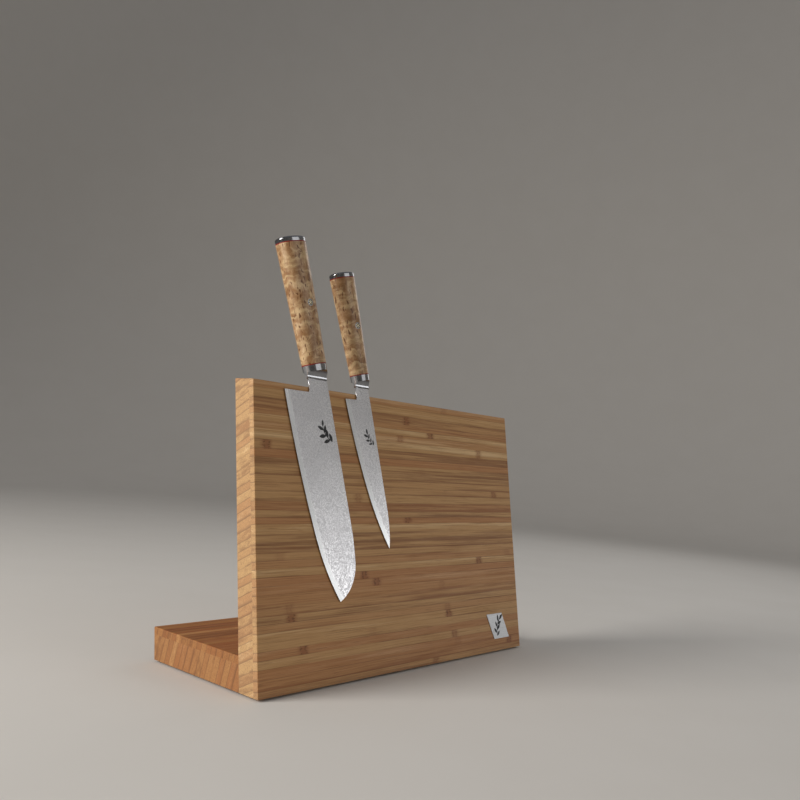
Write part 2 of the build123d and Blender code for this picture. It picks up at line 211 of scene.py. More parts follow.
class SprigSettings(bpy.types.PropertyGroup):
    """The small leaf sprig etched on each blade and on the badge."""

    length: bpy.props.FloatProperty(
        name="Length", description="Length of the stem", default=14 * MM, unit="LENGTH"
    )
    leaves: bpy.props.IntProperty(
        name="Leaves", description="Number of leaves on the stem", default=7, min=3
    )
    leaf_length: bpy.props.FloatProperty(
        name="Leaf length",
        description="Length of the longest leaf",
        default=6.5 * MM,
        unit="LENGTH",
    )
    relief: bpy.props.FloatProperty(
        name="Relief",
        description="Height of the mark over the steel",
        default=0.03 * MM,
        unit="LENGTH",
    )


class FootSettings(bpy.types.PropertyGroup):
    """Moulded rubber feet with rings on the tread."""

    rings: bpy.props.IntProperty(
        name="Rings", description="Number of raised rings on the tread", default=4, min=1
    )
    ring_width: bpy.props.FloatProperty(
        name="Ring width", description="Width of one raised ring", default=0.7 * MM, unit="LENGTH"
    )


class StudioSettings(bpy.types.PropertyGroup):
    """Camera and floor."""

    heading: bpy.props.FloatProperty(
        name="Heading",
        description="Direction that the camera looks in, from +Y towards +X",
        default=math.radians(49.18),
        subtype="ANGLE",
    )
    pitch: bpy.props.FloatProperty(
        name="Pitch",
        description="Angle that the camera looks up",
        default=math.radians(3.54),
        subtype="ANGLE",
    )
    roll: bpy.props.FloatProperty(
        name="Roll", description="Tilt of the camera", default=math.radians(5.08), subtype="ANGLE"
    )
    aim: bpy.props.FloatVectorProperty(
        name="Aim",
        description="Point in the middle of the picture",
        default=(-0.0299, -0.0526, 0.2346),
        subtype="TRANSLATION",
    )
    distance: bpy.props.FloatProperty(
        name="Distance", description="From the camera to the aim", default=0.75, unit="LENGTH"
    )
    lens: bpy.props.FloatProperty(
        name="Lens",
        description="Focal length for a 36 mm wide sensor",
        default=38.37,
        unit="CAMERA",
    )
    floor_colour: bpy.props.StringProperty(
        name="Floor", description="Colour of the pale floor", default="#D9D6D1"
    )


# ---- Helpers ----
def colour(hex_code):
    """A hex sRGB colour as linear RGBA."""
    channels = [int(hex_code[k : k + 2], 16) / 255 for k in (1, 3, 5)]
    linear = [c / 12.92 if c <= 0.04045 else ((c + 0.055) / 1.055) ** 2.4 for c in channels]
    return (*linear, 1.0)


def feed(tree, node, inputs):
    """Sets or links inputs. A value is a number, a colour, an output or a node's first output."""
    for key, value in inputs.items():
        if isinstance(value, bpy.types.Node):
            value = next(output for output in value.outputs if output.enabled)
        if isinstance(value, bpy.types.NodeSocket):
            tree.links.new(value, node.inputs[key])
        else:
            node.inputs[key].default_value = value


def add(tree, kind, *values, stops=(), **settings):
    """Adds one node. Its kind is a type, a name from KINDS, or a Math operation in capitals.

    The values fill its inputs in order. A keyword with a capital initial is an input too, and any
    other is a setting. Stops are a colour ramp's places and colours.
    """
    kind, fixed = KINDS.get(kind, (kind, {}))
    if kind.isupper():
        kind, fixed = "ShaderNodeMath", {"operation": kind}
    node = tree.nodes.new(kind)
    for name, value in {**fixed, **settings}.items():
        if not name[0].isupper():
            setattr(node, name, value)
    in_use = [k for k, socket in enumerate(node.inputs) if socket.enabled]
    feed(tree, node, dict(zip(in_use, values)))
    named = {name: value for name, value in settings.items() if name[0].isupper()}
    feed(tree, node, {name.replace("_", " "): value for name, value in named.items()})
    if stops:
        elements = node.color_ramp.elements
        while len(elements) < len(stops):
            elements.new(0.5)
        for element, (place, tint) in zip(elements, stops):
            element.position = place
            element.color = colour(tint)
    return node


def new_material(name, **constants):
    """An empty material with its shader, whose constants are set on the shader's own sockets."""
    material = bpy.data.materials.new(name)
    material.use_nodes = True
    tree = material.node_tree
    shader = tree.nodes["Principled BSDF"]
    feed(tree, shader, {socket.replace("_", " "): value for socket, value in constants.items()})
    return material, tree


def surfaced(material, tint, roughness, height=None, depth=None):
    """The material with its colour, roughness and relief, depth being how deep a height of 1 is."""
    tree = material.node_tree
    inputs = {"Base Color": tint, "Roughness": roughness}
    if height:
        inputs["Normal"] = add(tree, "ShaderNodeBump", Height=height, Distance=depth)
    feed(tree, tree.nodes["Principled BSDF"], inputs)
    return material


def pattern_space(tree, turn=(0.0, 0.0, 0.0)):
    """The object's own coordinates in millimetres, turned."""
    place = add(tree, "ShaderNodeTexCoord").outputs["Object"]
    return add(tree, "ShaderNodeMapping", place, Rotation=turn, Scale=(1 / MM, 1 / MM, 1 / MM))


def finish_with(obj, material):
    """The object's only material, in its material slots."""
    if not obj.material_slots:
        obj.data.materials.append(material)
    for slot in obj.material_slots:
        slot.material = material


def placed(name, data):
    """A new object at the origin with this data: a mesh, a camera or a light."""
    made = bpy.data.objects.new(name, data)
    bpy.context.scene.collection.objects.link(made)
    return made


# ---- Where the boards and knives lie ----
def face_frame():
    """The leaning face's frame: x along the width, y up the face, z out of it."""
    outward = Vector(frame["joints"][0]["axis"]).normalized()
    across = Vector((1, 0, 0))
    turn = Matrix((across, outward.cross(across), outward)).transposed().to_4x4()
    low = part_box("upright_facing")[0]
    return Matrix.Translation((0, low.y, low.z)) @ turn


def local_points(node, place):
    """A CAD node's vertices in the frame whose matrix is place."""
    points = np.empty(len(NODES[node].data.vertices) * 3)
    NODES[node].data.vertices.foreach_get("co", points)
    inverse = np.array(place.inverted())
    return points.reshape(-1, 3) @ inverse[:3, :3].T + inverse[:3, 3]


def blade_frame(knife):
    """The blade's own frame: x along it from heel to tip, y to the spine and z out of the face."""
    turned = face_frame() @ Matrix.Rotation(KNIFE_TILT[knife] - math.pi / 2, 4, "Z")
    points = local_points(f"{knife}_blade", turned)
    heel = points[points[:, 1].argmin()]
    middle = (points[:, 2].min() + points[:, 2].max()) / 2
    return turned @ Matrix.Translation((heel[0], heel[1], middle))


def grip_turn(knife):
    """The turn that lays a pattern's Z along the grip, its Y to the spine and its X outward."""
    ends = [sum(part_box(f"{knife}_{name}_spacer"), Vector()) / 2 for name in ("front", "back")]
    up = (ends[1] - ends[0]).normalized()
    out = face_frame().to_3x3() @ Vector((0, 0, 1))
    spine = up.cross(out).normalized()
    return Matrix((spine.cross(up), spine, up)).to_euler()


# ---- Materials ----
def laminated_bamboo(name, slant, seed, toast):
    """Bamboo strips glued side by side on edge, planed, sanded and oiled: satin, with long fibres.

    Each strip has its own tone and grows darker towards its dense outer side. It has brown knuckles
    where the cane's joints were, and here and there a dark glue line. slant turns the strips about
    the board's width, and toast makes the wood browner.
    """
    look = bpy.context.scene.bamboo
    strip = look.strip / MM
    gap = look.knuckle_gap / MM
    material, tree = new_material(name, Specular_IOR_Level=0.3)
    place = pattern_space(tree, turn=(slant, 0, 0))
    split = add(tree, "Split", place).outputs
    wander = add(tree, "Noise", add(tree, "Stretch", place, (0.010, 0.05, 0.05)), 1.0, Detail=2.0)
    level = add(tree, "ADD", add(tree, "ADD", split[2], wander), LEVEL_START + LEVEL_STEP * seed)

    strips = {"voronoi_dimensions": "1D", "W": level, "Scale": 1 / strip, "Randomness": 0.6}
    cells = add(tree, "Cells", **strips).outputs
    joints = add(tree, "Cells", feature="DISTANCE_TO_EDGE", **strips)
    chance = add(tree, "ShaderNodeSeparateColor", cells["Color"]).outputs
    depth = add(tree, "DIVIDE", add(tree, "SUBTRACT", level, cells["W"]), strip)

    # Fibres: a slow drift of tone along the strip, and fine streaks and pores.
    drift = add(tree, "Stretch", place, (0.007, 0.10, 0.30))
    drift = add(tree, "Noise", drift, 1.0, Detail=4.0, Roughness=0.6)
    fibres = add(tree, "Stretch", place, (0.020, 1.1, 1.3))
    fibres = add(tree, "Noise", fibres, 1.0, Detail=4.0, Roughness=0.68)
    pores = add(tree, "Stretch", place, (0.06, 1.8, 2.2))
    pores = add(tree, "Noise", pores, 1.0, Detail=2.0, Roughness=0.5)
    tone = add(
        tree, "MULTIPLY_ADD", chance[0], 0.72, add(tree, "Step", drift, 0.3, 0.7, -0.14, 0.36)
    )
    tone = add(tree, "SUBTRACT", tone, add(tree, "Step", depth, -0.15, -0.6, 0.0, 0.34))
    tones = [(0.0, look.dark), (0.34, look.middle), (0.66, look.middle), (1.0, look.light)]
    wood = add(tree, "Ramp", tone, stops=tones)
    ruddy = add(tree, "Step", chance[1], 0.35, 1.0, 0.0, 0.55)
    wood = add(tree, "Mix", ruddy, wood, colour("#A9683A"))
    wood = add(
        tree, "Mix", add(tree, "Step", fibres, 0.46, 0.72, 0.0, 0.46), wood, colour("#80502B")
    )
    wood = add(tree, "Mix", add(tree, "Step", pores, 0.6, 0.76, 0.0, 0.42), wood, colour("#6A4122"))
    wood = add(
        tree, "Mix", add(tree, "Step", fibres, 0.26, 0.44, 0.34, 0.0), wood, colour("#DDB67C")
    )

    # Knuckles: two soft rows of short brown ticks across one strip.
    along = add(tree, "ADD", add(tree, "DIVIDE", split[0], gap), 20.0)
    along = add(tree, "FRACT", add(tree, "MULTIPLY_ADD", chance[1], KNUCKLE_SHIFT, along))
    ripple = add(tree, "Noise", add(tree, "Stretch", place, (0.10, 0.4, 0.5)), 1.0, Detail=3.0)
    off = add(tree, "MULTIPLY", add(tree, "SUBTRACT", along, 0.5), gap)
    off = add(tree, "MULTIPLY_ADD", add(tree, "SUBTRACT", ripple, 0.5), KNUCKLE_WANDER, off)
    smudge = add(tree, "Step", add(tree, "ABSOLUTE", off), 1.0, 8.0, 1.0, 0.0)
    smudge = add(tree, "MULTIPLY", smudge, add(tree, "Step", chance[2], 0.1, 0.95, 0.1, 0.75))
    wood = add(tree, "Mix", smudge, wood, colour("#8F5730"))
    rows = add(tree, "ABSOLUTE", add(tree, "SUBTRACT", add(tree, "ABSOLUTE", off), KNUCKLE_ROW))
    ticks = add(tree, "Noise", add(tree, "Stretch", place, (0.3, 0.9, 1.1)), 1.0, Detail=1.0)
    ticks = add(tree, "Step", ticks, 0.42, 0.6)
    ticks = add(tree, "MULTIPLY", add(tree, "Step", rows, 0.4, 1.6, 1.0, 0.0), ticks)
    ticks = add(tree, "MULTIPLY", ticks, add(tree, "Step", chance[2], 0.2, 0.95, 0.0, 0.6))
    wood = add(tree, "Mix", ticks, wood, colour("#5C3417"))

    # Glue lines: most close invisibly, and some are dark for part of their length. Sawn ends show
    # them all.
    facing = add(tree, "Split", add(tree, "ShaderNodeTexCoord").outputs["Normal"])
    sawn = add(tree, "Step", add(tree, "ABSOLUTE", facing), 0.6, 0.95)
    near = add(tree, "Step", add(tree, "MULTIPLY", joints, strip), 0.05, 0.5, 1.0, 0.0)
    broken = add(tree, "Noise", add(tree, "Stretch", place, (0.012, 0.1, 0.1)), 1.0, Detail=2.0)
    seen = add(tree, "Step", chance[2], 0.35, 0.95, 0.08, 0.6)
    seen = add(tree, "MULTIPLY", seen, add(tree, "Step", broken, 0.4, 0.6, 0.1, 1.0))
    on_ends = add(tree, "MULTIPLY", sawn, add(tree, "Step", chance[1], 0.0, 1.0, 0.25, 0.8))
    seen = add(tree, "MAXIMUM", seen, on_ends)
    line = add(tree, "MULTIPLY", near, seen)
    wood = add(tree, "Mix", line, wood, colour("#553319"))

    # Sawn ends also show the strips' dense edges and the dark dots of cut fibres, and are paler.
    dots = add(tree, "MULTIPLY", add(tree, "Step", pores, 0.5, 0.66), 0.5)
    edges = add(tree, "Step", chance[1], 0.2, 0.9, 0.1, 0.8)
    edges = add(tree, "MULTIPLY", add(tree, "Step", depth, -0.2, -0.62), edges)
    cut = add(tree, "MULTIPLY", sawn, add(tree, "MAXIMUM", dots, edges))
    wood = add(tree, "Mix", cut, wood, colour("#7C5030"))
    wood = add(tree, "Mix", add(tree, "MULTIPLY", sawn, 0.16), wood, colour("#E6CFA8"))
    wood = add(tree, "Mix", toast, wood, colour("#C7975F"), blend_type="MULTIPLY")
    relief = add(tree, "MULTIPLY_ADD", fibres, 0.6, add(tree, "MULTIPLY", line, -0.8))
    relief = add(tree, "MULTIPLY_ADD", pores, -0.5, relief)
    return surfaced(
        material, wood, add(tree, "Step", fibres, 0.3, 0.75, 0.45, 0.62), relief, 0.05 * MM
    )


def turned_beech(name):
    """Plain turned beech dowel: pale pinkish brown, matt, with short dark flecks."""
    material, tree = new_material(name)
    place = pattern_space(tree)
    grain = add(tree, "Noise", add(tree, "Stretch", place, (1.2, 0.06, 1.2)), 1.0, Detail=4.0)
    flecks = add(tree, "Noise", add(tree, "Stretch", place, (2.4, 0.5, 2.4)), 1.0, Detail=1.0)
    wood = add(tree, "Ramp", grain, stops=[(0.3, "#B88B63"), (0.7, "#D8B48A")])
    wood = add(
        tree, "Mix", add(tree, "Step", flecks, 0.62, 0.72, 0.0, 0.6), wood, colour("#7E5030")
    )
    return surfaced(material, wood, 0.6, grain, 0.03 * MM)


def figured_birch(name, turn, fleck_stretch):
    """Figured birch, stabilised and polished: pale honey with a rippled figure whose pale bands are
    a painted sheen, and brown flecks.
    """
    material, tree = new_material(
        name, Coat_Weight=0.15, Coat_Roughness=0.3, Specular_IOR_Level=0.35
    )
    place = pattern_space(tree, turn=turn)
    warp = add(tree, "Noise", add(tree, "Stretch", place, (0.16, 0.16, 0.09)), 1.0, Detail=2.0)
    warp = add(tree, "Stretch", warp.outputs["Color"], FIGURE_WARP)
    bent = add(tree, "ShaderNodeVectorMath", warp, place, operation="ADD")
    clouds = add(tree, "Stretch", bent, (0.14, 0.14, 0.07))
    clouds = add(tree, "Noise", clouds, 1.0, Detail=3.0, Roughness=0.6)
    ripple = add(tree, "Noise", add(tree, "Stretch", bent, (0.07, 0.07, 0.30)), 1.0, Detail=2.0)
    fibres = add(tree, "Stretch", bent, (1.3, 1.3, 0.12))
    fibres = add(tree, "Noise", fibres, 1.0, Detail=3.0, Roughness=0.6)
    tones = [(0.28, "#765034"), (0.43, "#99744F"), (0.57, "#B5906A"), (0.74, "#DEC39D")]
    wood = add(tree, "Ramp", clouds, stops=tones)
    # Pale bands across the grip: a painted sheen, the figure's chatoyance fixed into colour. The
    # dark bands after them are the figure's own tone.
    wood = add(
        tree, "Mix", add(tree, "Step", ripple, 0.45, 0.66, 0.0, 0.5), wood, colour("#E6CB9C")
    )
    wood = add(
        tree, "Mix", add(tree, "Step", ripple, 0.30, 0.46, 0.4, 0.0), wood, colour("#8F6236")
    )
    wood = add(tree, "Mix", add(tree, "Step", fibres, 0.5, 0.74, 0.0, 0.4), wood, colour("#7F5229"))

    # Flecks: short brown dashes along the grip, each in its own cell.
    cells = add(tree, "Cells", add(tree, "Stretch", bent, fleck_stretch), 1.0)
    chance = add(tree, "ShaderNodeSeparateColor", cells.outputs["Color"])
    size = add(tree, "Step", chance, 0.25, 1.0, 0.0, 0.42)
    fleck = add(tree, "SUBTRACT", size, cells)
    fleck = add(tree, "Step", fleck, -0.05, 0.09)
    wood = add(tree, "Mix", add(tree, "MULTIPLY", fleck, 0.85), wood, colour("#5E3416"))
    relief = add(tree, "SUBTRACT", fibres, fleck)
    return surfaced(
        material, wood, add(tree, "Step", fibres, 0.3, 0.7, 0.3, 0.4), relief, 0.02 * MM
    )


def patterned_steel(name):
    """Layered stainless steel, ground and etched: matt silver grey with a fine contour pattern.

    The plain core steel shows as a brighter band with a wavy border along the cutting edge. The
    mesh carries each point's distance from that edge, in millimetres. The real layers lie about
    0.3 mm apart, which is too fine to show, so they are drawn coarser.
    """
    look = bpy.context.scene.blade
    material, tree = new_material(name, Metallic=1.0)
    place = pattern_space(tree)
    swirl = add(tree, "Noise", place, 0.11, Detail=3.0, Roughness=0.55, Distortion=1.1)
    contour = add(tree, "MULTIPLY", swirl, SWIRL_RISE / (look.layer_gap / MM))
    contour = add(tree, "SINE", add(tree, "MULTIPLY", contour, 2 * math.pi))
    speck = add(tree, "Noise", place, 1.1, Detail=2.0, Roughness=0.6)
    grind = add(tree, "Noise", place, 0.035, Detail=2.0)
    etched = add(tree, "Step", contour, -0.5, 0.9, 0.0, 0.55)
    etched = add(tree, "ADD", etched, add(tree, "Step", speck, 0.38, 0.64, 0.0, 0.45))

    distance = add(tree, "ShaderNodeAttribute", attribute_name="edge_mm").outputs["Fac"]
    border = add(tree, "Noise", place, 0.35, Detail=3.0, Roughness=0.6)
    border = add(tree, "MULTIPLY", add(tree, "SUBTRACT", border, 0.5), EDGE_WANDER)
    inside = add(tree, "SUBTRACT", add(tree, "ADD", distance, border), look.edge_band / MM)
    clad = add(tree, "Step", inside, -0.35, 0.35)
    rim = add(tree, "Step", add(tree, "ABSOLUTE", inside), 0.0, 0.6, 1.0, 0.0)

    steel = add(
        tree, "Ramp", etched, stops=[(0.05, "#BBBBBE"), (0.5, "#D0D0D3"), (0.95, "#E6E6E8")]
    )
    steel = add(
        tree, "Mix", add(tree, "Step", grind, 0.35, 0.65, 0.0, 0.25), steel, colour("#B2B2B5")
    )
    core = add(
        tree, "Mix", add(tree, "Step", speck, 0.3, 0.7), colour("#CBCDCF"), colour("#D8DADB")
    )
    steel = add(tree, "Mix", clad, core, steel)
    steel = add(tree, "Mix", add(tree, "MULTIPLY", rim, 0.4), steel, colour("#F2F2F3"))
    rough = add(tree, "Step", etched, 0.1, 0.9, 0.42, 0.28)
    rough = add(tree, "ShaderNodeMix", clad, 0.3, rough, data_type="FLOAT")
    return surfaced(material, steel, rough, add(tree, "MULTIPLY", etched, clad), 0.02 * MM)


def polished_steel(name):
    """Stainless steel, ground and buffed: a clear reflection, with haze and hairline scuffs. Its
    colour is darker than real buffed stainless: a painted dark reflection.
    """
    material, tree = new_material(name, Metallic=1.0)
    place = pattern_space(tree)
    haze = add(tree, "Noise", place, 0.25, Detail=3.0)
    scuffs = add(tree, "Stretch", place, (0.25, 2.5, 2.5))
    scuffs = add(tree, "Noise", scuffs, 1.0, Detail=2.0, Roughness=0.7)
    # Both colours are darker than real stainless: a painted dark reflection of a dim room. The haze
    # between them is the steel's real variation.
    steel = add(
        tree, "Mix", add(tree, "Step", haze, 0.3, 0.7), colour("#929396"), colour("#9C9DA0")
    )
    rough = add(tree, "Step", scuffs, 0.62, 0.75, 0.0, 0.1)
    rough = add(tree, "ADD", rough, add(tree, "Step", haze, 0.35, 0.7, 0.09, 0.16))
    return surfaced(material, steel, rough, scuffs, 0.001 * MM)


def satin_steel(name):
    """Thin stainless sheet, brushed one way and bead-dulled: bright, with short fine lines."""
    material, tree = new_material(name, Metallic=1.0)
    place = pattern_space(tree)
    lines = add(tree, "Stretch", place, (0.12, 3.2, 3.2))
    lines = add(tree, "Noise", lines, 1.0, Detail=3.0, Roughness=0.7)
    steel = add(tree, "Ramp", lines, stops=[(0.3, "#9C9EA0"), (0.7, "#BFC0C2")])
    return surfaced(
        material, steel, add(tree, "Step", lines, 0.3, 0.7, 0.4, 0.52), lines, 0.01 * MM
    )


def red_fibre(name):
    """Vulcanised fibre spacer, sanded flush: deep red, semi-matt, with pale short fibres."""
    material, tree = new_material(name, Specular_IOR_Level=0.4)
    place = pattern_space(tree)
    fibres = add(tree, "Stretch", place, (1.2, 1.2, 4.0))
    fibres = add(tree, "Noise", fibres, 1.0, Detail=3.0, Roughness=0.6)
    red = add(tree, "Ramp", fibres, stops=[(0.3, "#650A0B"), (0.6, "#8F1412"), (0.8, "#A8241D")])
    return surfaced(material, red, add(tree, "Step", fibres, 0.3, 0.7, 0.4, 0.55))


def pin_metal(name):
    """Nickel silver and brass rod ends, sanded flush: pale gold with fine scratches."""
    material, tree = new_material(name, Metallic=1.0)
    place = pattern_space(tree)
    scratches = add(tree, "Noise", add(tree, "Stretch", place, (3.0, 0.4, 3.0)), 1.0, Detail=2.0)
    metal = add(tree, "Ramp", scratches, stops=[(0.3, "#DCCFA8"), (0.7, "#F0E8D0")])
    return surfaced(material, metal, add(tree, "Step", scratches, 0.35, 0.65, 0.4, 0.5))


def dark_resin(name):
    """Black epoxy round the pin's rods, sanded and polished: glossy, with tiny grey dust specks."""
    material, tree = new_material(name, Coat_Weight=0.3, Coat_Roughness=0.1)
    specks = add(tree, "Noise", pattern_space(tree), 3.5, Detail=2.0)
    resin = add(tree, "Ramp", specks, stops=[(0.55, "#171413"), (0.75, "#45403C")])
    return surfaced(material, resin, add(tree, "Step", specks, 0.4, 0.7, 0.2, 0.35))


def etched_mark(name):
    """Deep etch, blackened: dark grey and matt, slightly uneven."""
    material, tree = new_material(name, Specular_IOR_Level=0.3)
    patches = add(tree, "Noise", pattern_space(tree), 1.6, Detail=3.0)
    grey = add(tree, "Ramp", patches, stops=[(0.3, "#1E1F21"), (0.75, "#3A3B3E")])
    return surfaced(material, grey, add(tree, "Step", patches, 0.3, 0.7, 0.5, 0.7))


def moulded_rubber(name):
    """Natural rubber, moulded: near black and matt, with a fine grain."""
    material, tree = new_material(name, Specular_IOR_Level=0.3)
    grain = add(tree, "Noise", pattern_space(tree), 2.2, Detail=3.0, Roughness=0.65)
    rubber = add(tree, "Ramp", grain, stops=[(0.3, "#161616"), (0.75, "#2B2A29")])
    return surfaced(
        material, rubber, add(tree, "Step", grain, 0.3, 0.7, 0.7, 0.88), grain, 0.05 * MM
    )


def rolled_steel(name):
    """Mild steel strip, cold rolled: grey, with faint lines along the strip and an oil film."""
    material, tree = new_material(name, Metallic=1.0)
    lines = add(tree, "Stretch", pattern_space(tree), (0.03, 1.6, 1.6))
    lines = add(tree, "Noise", lines, 1.0, Detail=3.0)
    steel = add(tree, "Ramp", lines, stops=[(0.3, "#6C6E70"), (0.7, "#8D8F91")])
    return surfaced(material, steel, add(tree, "Step", lines, 0.3, 0.7, 0.35, 0.55))


def sintered_ferrite(name):
    """Ferrite block magnets, sintered and ground: charcoal, dull, with a sandy grain."""
    material, tree = new_material(name, Specular_IOR_Level=0.4)
    grain = add(tree, "Noise", pattern_space(tree), 1.8, Detail=4.0, Roughness=0.7)
    ferrite = add(tree, "Ramp", grain, stops=[(0.3, "#242527"), (0.75, "#424447")])
    return surfaced(
        material, ferrite, add(tree, "Step", grain, 0.3, 0.7, 0.55, 0.8), grain, 0.04 * MM
    )


def studio_floor(name):
    """Pale matt studio floor."""
    material, tree = new_material(name, Specular_IOR_Level=0.2)
    clouds = add(tree, "Noise", pattern_space(tree), 0.01, Detail=3.0)
    pale = add(
        tree,
        "Mix",
        add(tree, "Step", clouds, 0.3, 0.7, 0.0, 0.12),
        colour(bpy.context.scene.studio.floor_colour),
        colour("#CFCBC4"),
    )
    return surfaced(material, pale, add(tree, "Step", clouds, 0.3, 0.7, 0.75, 0.85))


# ---- Geometry Nodes ----
def new_tree(name, inputs):
    """An empty Geometry Nodes tree with named inputs, and its input and output nodes."""
    tree = bpy.data.node_groups.new(name, "GeometryNodeTree")
    tree.interface.new_socket("Geometry", in_out="INPUT", socket_type="NodeSocketGeometry")
    for label, kind in inputs.items():
        tree.interface.new_socket(label, in_out="INPUT", socket_type=f"NodeSocket{kind}")
    tree.interface.new_socket("Geometry", in_out="OUTPUT", socket_type="NodeSocketGeometry")
    return tree, add(tree, "NodeGroupInput").outputs, add(tree, "NodeGroupOutput")


def end_tree(tree, geometry, material, output):
    """Ends a tree with real geometry that has its material."""
    real = add(tree, "Real", geometry)
    feed(tree, output, {0: add(tree, "GeometryNodeSetMaterial", real, Material=material)})


def grown(name, tree, seeds, place, values):
    """The plain mesh object that the tree grows from the seed points, moved to its place."""
    seed_mesh = bpy.data.meshes.new(f"{name}_seeds")
    seed_mesh.from_pydata(seeds, [], [])
    seed = placed(f"{name}_seed", seed_mesh)
    modifier = seed.modifiers.new("Grow", "NODES")
    modifier.node_group = tree
    inputs = [item for item in tree.interface.items_tree if item.in_out == "INPUT"]
    sockets = {item.name: item.identifier for item in inputs}
    for label, value in values.items():
        modifier[sockets[label]] = value
    graph = bpy.context.evaluated_depsgraph_get()
    mesh = bpy.data.meshes.new_from_object(seed.evaluated_get(graph), depsgraph=graph)
    seed.modifiers.remove(modifier)
    bpy.data.objects.remove(seed)
    mesh.transform(place)
    mesh.polygons.foreach_set("use_smooth", [True] * len(mesh.polygons))
    return placed(name, mesh)


def sprig_tree():
    """A bent stem with leaves on alternate sides and one at its end."""
    tree, given, output = new_tree(
        "Leaf sprig",
        {
            "Length": "Float",
            "Leaves": "Int",
            "Leaf length": "Float",
            "Relief": "Float",
            "Seed": "Int",
            "Material": "Material",
        },
    )
    length, relief = given["Length"], given["Relief"]

    course = {}
    for label, (x, y) in STEM.items():
        x, y = (add(tree, "MULTIPLY", length, share) for share in (x, y))
        course[label] = add(tree, "Vector", x, y)
    stem = add(tree, "GeometryNodeCurveQuadraticBezier", STEM_POINTS, **course)
    thickness = add(tree, "MULTIPLY", length, STEM_RADIUS)
    round_rod = add(tree, "Circle", STEM_SIDES, thickness)
    rod = add(tree, "Sweep", stem, round_rod, Fill_Caps=True)
    squash = add(tree, "Vector", 1.0, 1.0, add(tree, "DIVIDE", relief, thickness))
    rod = add(tree, "Transform", rod, Scale=squash)

    # A leaf is a sphere flattened to the relief and drawn out to a point at both ends.
    ball = add(tree, "GeometryNodeMeshUVSphere", LEAF_SIDES, LEAF_RINGS, 1.0)
    at = add(tree, "Split", add(tree, "GeometryNodeInputPosition")).outputs
    bulge = add(tree, "SUBTRACT", 1.0, add(tree, "MULTIPLY", at[0], at[0]))
    bulge = add(tree, "SQRT", add(tree, "MAXIMUM", bulge, 0.0))
    half = add(tree, "MULTIPLY", given["Leaf length"], 0.5)
    along = add(tree, "MULTIPLY", add(tree, "ADD", at[0], 1.0), half)
    width = add(tree, "MULTIPLY", half, LEAF_WIDTH)
    across = add(tree, "MULTIPLY", add(tree, "MULTIPLY", at[1], bulge), width)
    shaped = add(tree, "Vector", along, across, add(tree, "MULTIPLY", at[2], relief))
    leaf = add(tree, "GeometryNodeSetPosition", ball, Position=shaped)

    points = add(tree, "GeometryNodeCurveToPoints", stem, given["Leaves"], mode="COUNT").outputs
    way = add(tree, "Split", points["Tangent"]).outputs
    index = add(tree, "GeometryNodeInputIndex")
    side = add(tree, "SUBTRACT", add(tree, "MULTIPLY", add(tree, "MODULO", index, 2.0), 2.0), 1.0)
    last = add(tree, "SUBTRACT", given["Leaves"], 1.5)
    side = add(tree, "MULTIPLY", side, add(tree, "LESS_THAN", index, last))
    sway = add(tree, "Chance", -LEAF_SWAY, LEAF_SWAY, index, given["Seed"])
    heading = add(tree, "MULTIPLY_ADD", side, LEAF_ANGLE, add(tree, "ARCTAN2", way[1], way[0]))
    turn = add(tree, "Vector", Z=add(tree, "ADD", heading, sway))
    size = add(tree, "Chance", *LEAF_SIZES, index, given["Seed"])
    size = add(tree, "Vector", size, size, 1.0)
    leaves = add(tree, "Copies", points["Points"], Instance=leaf, Rotation=turn, Scale=size)

    both = add(tree, "GeometryNodeJoinGeometry", rod)
    feed(tree, both, {0: leaves})
    end_tree(tree, both, given["Material"], output)
    return tree


def foot_tree():
    """Round feet on the seed points: a plug with rings on its tread and a bead round its rim."""
    tree, given, output = new_tree(
        "Rubber feet",
        {
            "Radius": "Float",
            "Height": "Float",
            "Rings": "Int",
            "Ring width": "Float",
            "Material": "Material",
        },
    )
    bead = add(tree, "MULTIPLY", given["Ring width"], 0.5)
    depth = add(tree, "SUBTRACT", given["Height"], bead)
    inner = add(tree, "SUBTRACT", given["Radius"], add(tree, "MULTIPLY", bead, BEAD_OVERHANG))
    plug = add(tree, "GeometryNodeMeshCylinder", FOOT_SIDES, 1, 1, inner, depth)
    lift = add(tree, "Vector", Z=add(tree, "MULTIPLY_ADD", depth, 0.5, bead))
    plug = add(tree, "Transform", plug, lift)

    dots = add(tree, "GeometryNodePoints", given["Rings"])
    share = add(tree, "ADD", add(tree, "GeometryNodeInputIndex"), 1.0)
    share = add(tree, "DIVIDE", share, given["Rings"])
    hoop = add(tree, "Circle", FOOT_SIDES, add(tree, "SUBTRACT", given["Radius"], bead))
    hoops = add(tree, "Copies", dots, Instance=hoop, Scale=add(tree, "Vector", share, share, 1.0))
    rings = add(tree, "Sweep", add(tree, "Real", hoops), add(tree, "Circle", BEAD_SIDES, bead))
    rings = add(tree, "Transform", rings, add(tree, "Vector", Z=bead))

    foot = add(tree, "GeometryNodeJoinGeometry", plug)
    feed(tree, foot, {0: rings})
    feet = add(tree, "Copies", given["Geometry"], Instance=foot)
    end_tree(tree, feet, given["Material"], output)
    return tree


# ---- Blades ----
def segment_distance(points, path):
    """Each point's distance from a path of straight runs."""
    starts, runs = path[:-1], np.diff(path, axis=0)
    reach = points[:, None, :] - starts[None]
    share = np.clip((reach * runs).sum(2) / (runs**2).sum(1), 0, 1)
    return np.linalg.norm(reach - share[..., None] * runs, axis=2).min(1)


